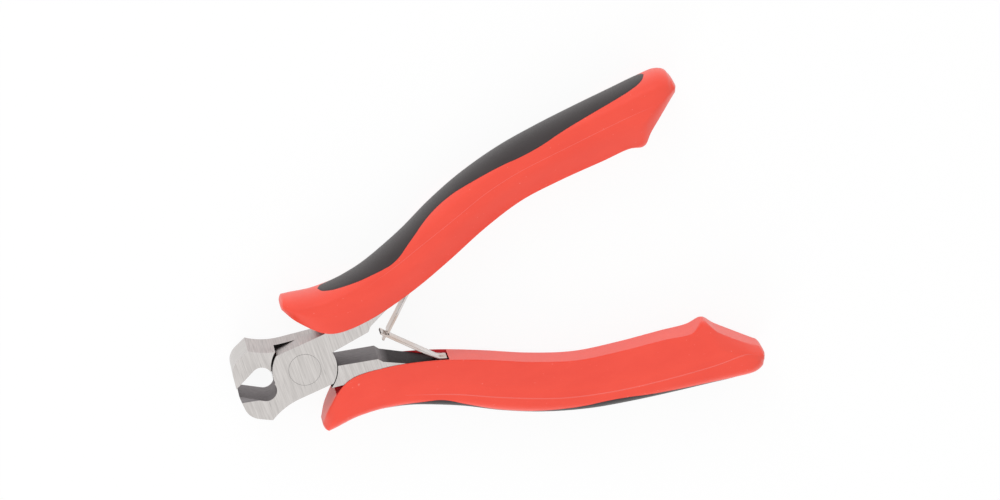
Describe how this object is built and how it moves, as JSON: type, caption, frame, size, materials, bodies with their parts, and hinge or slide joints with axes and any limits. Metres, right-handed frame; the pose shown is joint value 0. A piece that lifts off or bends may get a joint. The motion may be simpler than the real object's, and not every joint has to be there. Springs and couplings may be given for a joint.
{
  "type": "end cutting nippers",
  "caption": "Small spring-loaded end cutting nippers: steel halves lapped on a flush rivet, cutting edges across the nose, and moulded grips with soft back inserts.",
  "frame": {"origin": "on the pivot axis, on the lower ground face of the joint", "axes": "+Z along the pivot axis toward the upper side, +X along the mid-line toward the handles, +Y toward the upper handle"},
  "size_m": [0.1149, 0.073, 0.0134],
  "materials": {
    "steel": "ground and brushed, blackened on the inner faces",
    "spring_steel": "bright rolled strip",
    "grip_red": "satin moulded",
    "insert_grey": "soft matt"
  },
  "bodies": {
    "lower_handle": {"rear_half": "steel", "lower_grip": "grip_red", "lower_grip_insert": "insert_grey", "pivot_rivet": "steel", "lower_spring_rivet": "spring_steel"},
    "upper_handle": {"front_half": "steel", "upper_grip": "grip_red", "upper_grip_insert": "insert_grey", "upper_spring_rivet": "spring_steel"},
    "lower_leaf": {"lower_leaf_spring": "spring_steel"},
    "upper_leaf": {"upper_leaf_spring": "spring_steel"}
  },
  "joints": [
    {"name": "pivot", "type": "hinge", "parent": "lower_handle", "child": "upper_handle", "pos_m": [0, 0, 0.0052], "axis": [0, 0, 1], "range_deg": [-7.4, 0], "stiffness_Nm_per_rad": 1.5},
    {"name": "upper_leaf_bend", "type": "hinge", "parent": "upper_handle", "child": "upper_leaf", "pos_m": [0.02999, 0.00953, 0.0052], "axis": [0, 0, 1], "range_deg": [-7, 0]},
    {"name": "lower_leaf_bend", "type": "hinge", "parent": "lower_handle", "child": "lower_leaf", "pos_m": [0.02999, -0.00953, 0.0052], "axis": [0, 0, 1], "range_deg": [0, 7]}
  ],
  "couplings": [
    {"joint": "upper_leaf_bend", "follows": "pivot", "ratio": 0.874},
    {"joint": "lower_leaf_bend", "follows": "pivot", "ratio": -0.874}
  ]
}
